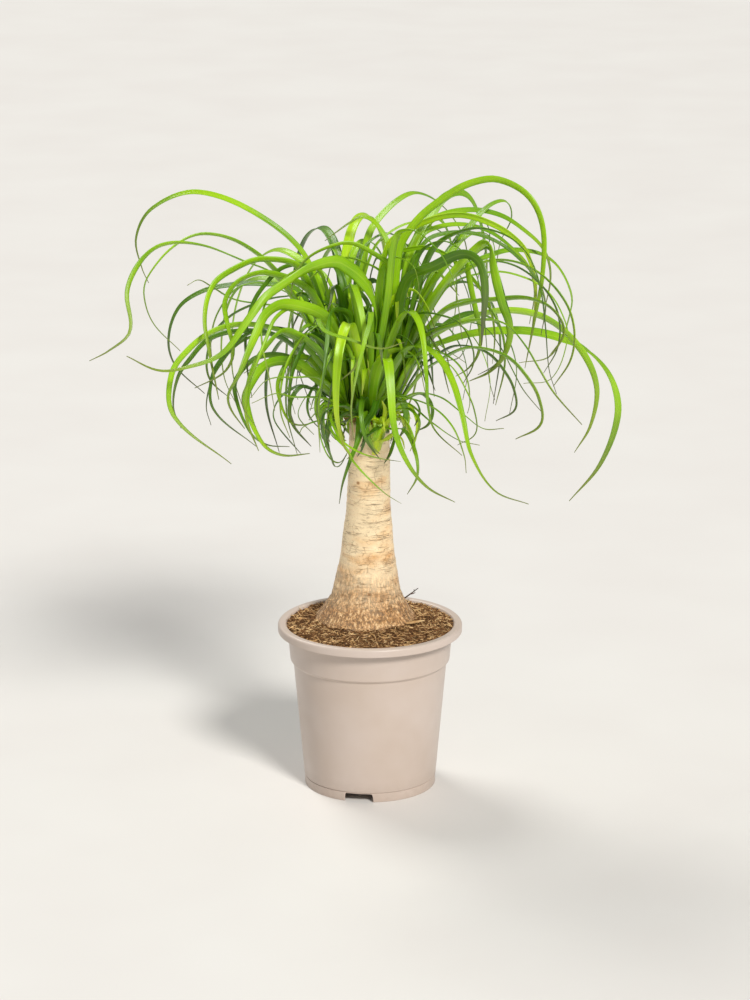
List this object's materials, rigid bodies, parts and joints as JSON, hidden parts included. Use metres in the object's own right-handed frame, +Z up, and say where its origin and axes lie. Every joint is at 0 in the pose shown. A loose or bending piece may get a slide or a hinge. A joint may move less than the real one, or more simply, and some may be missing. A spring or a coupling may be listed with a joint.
{
  "type": "potted ponytail palm",
  "caption": "Potted ponytail palm: a swollen corky trunk with long arching strap leaves springing from its cut top, in a round plastic nursery pot filled with soil.",
  "frame": {"origin": "on the pot's axis, on the surface that the foot ring stands on, which is also the middle of the plant's spread", "axes": "+Z up along the pot's axis, the front of the plant towards -Y, +X to the viewer's right"},
  "size_m": [0.4763, 0.3518, 0.573],
  "materials": {
    "pot_plastic": "taupe, faint sheen",
    "soil_fibre": "loose coir and peat",
    "trunk_bark": "corky ringed bark",
    "head_green": "smooth sheathing leaf bases",
    "shoot_green": "young growth",
    "leaf_green": "glossy with fine parallel veins",
    "twig_wood": "dark twig",
    "splinter_wood": "pale wood splinter"
  },
  "bodies": {
    "root": {"head_front": "head_green", "head_left": "head_green", "head_right": "head_green", "leaf_back_01": "leaf_green", "leaf_back_02": "leaf_green", "leaf_back_03": "leaf_green", "leaf_back_04": "leaf_green", "leaf_back_05": "leaf_green", "leaf_back_06": "leaf_green", "leaf_front_01": "leaf_green", "leaf_front_02": "leaf_green", "leaf_front_03": "leaf_green", "leaf_front_04": "leaf_green", "leaf_front_05": "leaf_green", "leaf_front_06": "leaf_green", "leaf_front_07": "leaf_green", "leaf_front_08": "leaf_green", "leaf_front_09": "leaf_green", "leaf_front_10": "leaf_green", "leaf_left_01": "leaf_green", "leaf_left_02": "leaf_green", "leaf_left_03": "leaf_green", "leaf_left_04": "leaf_green", "leaf_left_05": "leaf_green", "leaf_left_06": "leaf_green", "leaf_left_07": "leaf_green", "leaf_left_08": "leaf_green", "leaf_left_09": "leaf_green", "leaf_left_10": "leaf_green", "leaf_left_11": "leaf_green", "leaf_left_12": "leaf_green", "leaf_left_13": "leaf_green", "leaf_right_01": "leaf_green", "leaf_right_02": "leaf_green", "leaf_right_03": "leaf_green", "leaf_right_04": "leaf_green", "leaf_right_05": "leaf_green", "leaf_right_06": "leaf_green", "leaf_right_07": "leaf_green", "leaf_right_08": "leaf_green", "leaf_right_09": "leaf_green", "leaf_right_10": "leaf_green", "leaf_right_11": "leaf_green", "leaf_right_12": "leaf_green", "leaf_right_13": "leaf_green", "leaf_right_14": "leaf_green", "leaf_right_15": "leaf_green", "leaf_top_01": "leaf_green", "leaf_top_02": "leaf_green", "leaf_top_03": "leaf_green", "leaf_top_04": "leaf_green", "pot": "pot_plastic", "shoot_front": "shoot_green", "shoot_left": "shoot_green", "soil": "soil_fibre", "soil_splinter": "splinter_wood", "soil_twig": "twig_wood", "trunk": "trunk_bark"}
  },
  "joints": []
}
